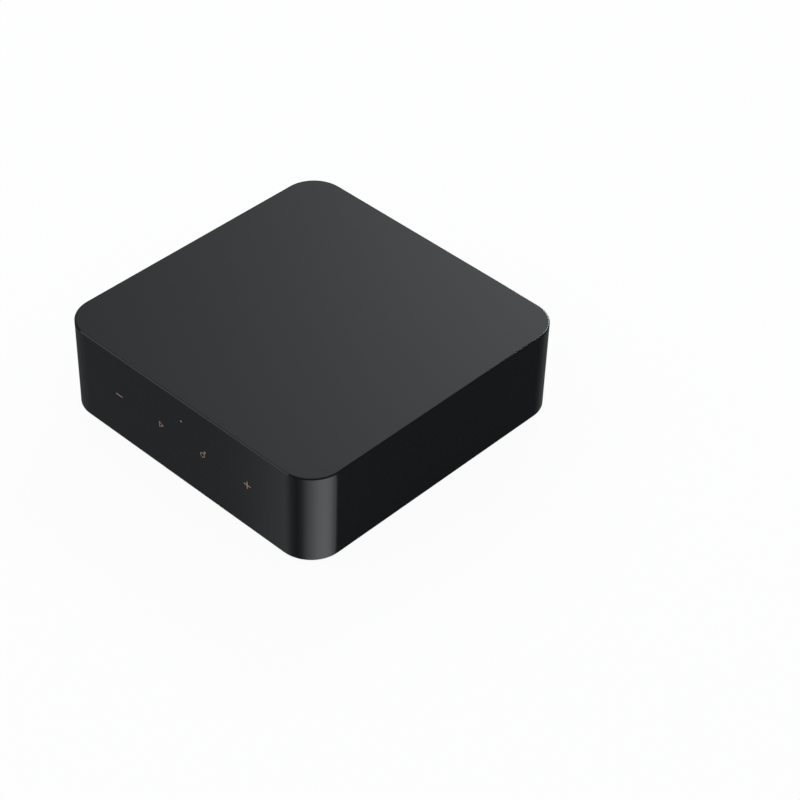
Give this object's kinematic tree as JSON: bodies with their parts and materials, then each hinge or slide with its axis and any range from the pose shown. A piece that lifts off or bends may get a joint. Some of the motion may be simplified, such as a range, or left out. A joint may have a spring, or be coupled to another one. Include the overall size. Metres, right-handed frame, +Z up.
{
  "type": "network music streamer",
  "caption": "Low square music streamer with rounded corners, touch marks on its front, and phono, optical, network, trigger and power sockets on its back.",
  "frame": {"origin": "middle of the underside of the foot ring, on the surface the box rests on", "axes": "+Z up, -Y out of the front with the touch marks, +Y out of the back with the sockets, +X to the right of someone who looks at the back"},
  "size_m": [0.14, 0.147, 0.042],
  "materials": {
    "shell_plastic": "satin moulded ABS",
    "top_plastic": "finely grained matt ABS",
    "tape": "adhesive film",
    "cover_plastic": "matt moulded ABS",
    "foot_rubber": "matt silicone rubber",
    "steel_black": "black zinc",
    "steel_plated": "nickel plated",
    "steel_nickel": "nickel plated sheet",
    "spring_steel": "drawn wire",
    "mark_paint": "printed paint",
    "lens_clear": "clear polycarbonate",
    "panel_plastic": "matt moulded ABS",
    "board_laminate": "solder resist on laminate",
    "board_black": "black solder resist",
    "socket_black": "moulded nylon",
    "socket_ivory": "moulded nylon",
    "gold_plated": "gold plated",
    "tin_plated": "tin plated",
    "insulator_white": "moulded",
    "insulator_red": "moulded",
    "insulator_orange": "moulded",
    "shutter_grey": "moulded acetal",
    "module_resin": "dark cast resin",
    "light_amber": "diffusing resin",
    "light_green": "clear resin",
    "chip_resin": "moulded resin",
    "cable_film": "polyester film",
    "pad_silicone": "soft silicone",
    "sink_aluminium": "black anodised",
    "can_aluminium": "drawn can",
    "ferrite": "pressed ferrite",
    "ceramic_tan": "fired ceramic",
    "lead_black": "fluoropolymer sleeve"
  },
  "bodies": {
    "casing": {"aerial_leads": "lead_black", "aerial_plugs": "gold_plated", "aerials": "board_black", "board_screws": "steel_plated", "bottom_cover": "cover_plastic", "cable_sockets": "socket_ivory", "capacitors": "can_aluminium", "chip_parts": "ceramic_tan", "coax_block": "socket_black", "coax_insulator": "insulator_orange", "converter_chips": "chip_resin", "cover_screws": "steel_black", "crystals": "steel_nickel", "foot_ring": "foot_rubber", "front_marks": "mark_paint", "heat_sink": "sink_aluminium", "inductors": "ferrite", "lan_contacts": "gold_plated", "lan_housing": "socket_black", "lan_lights": "light_amber", "lan_shield": "steel_nickel", "lan_transformer": "chip_resin", "left_insulators": "insulator_white", "light_lens": "lens_clear", "line_in_block": "socket_black", "line_out_block": "socket_black", "main_board": "board_laminate", "memory_chips": "chip_resin", "optical_in_housing": "socket_black", "optical_in_pin": "steel_plated", "optical_in_receiver": "module_resin", "optical_in_spring": "spring_steel", "optical_out_emitter": "module_resin", "optical_out_housing": "socket_black", "optical_out_pin": "steel_plated", "optical_out_spring": "spring_steel", "phono_barrels": "gold_plated", "phono_contacts": "gold_plated", "power_shell": "steel_nickel", "power_tongue": "socket_black", "processor": "chip_resin", "radio_board": "board_black", "radio_chip": "chip_resin", "radio_shield": "steel_nickel", "rear_panel": "panel_plastic", "right_insulators": "insulator_red", "side_shell": "shell_plastic", "status_light": "light_green", "thermal_pad": "pad_silicone", "top_plate": "top_plastic", "top_tape": "tape", "touch_board": "board_black", "touch_cable": "cable_film", "touch_chip": "chip_resin", "touch_tape": "tape", "trigger_body": "socket_black", "trigger_tabs": "tin_plated"},
    "optical_in_flap": {"optical_in_shutter": "shutter_grey"},
    "optical_out_flap": {"optical_out_shutter": "shutter_grey"}
  },
  "joints": [
    {"name": "optical_in_hinge", "type": "hinge", "parent": "casing", "child": "optical_in_flap", "pos_m": [0.00723, 0.06747, 0.0178], "axis": [-1, 0, 0], "range_deg": [0, 88], "stiffness_Nm_per_rad": 0.0003, "springref_deg": -20.05, "deforming": ["optical_in_spring"]},
    {"name": "optical_out_hinge", "type": "hinge", "parent": "casing", "child": "optical_out_flap", "pos_m": [-0.00488, 0.06747, 0.0178], "axis": [-1, 0, 0], "range_deg": [0, 88], "stiffness_Nm_per_rad": 0.0003, "springref_deg": -20.05, "deforming": ["optical_out_spring"]}
  ]
}
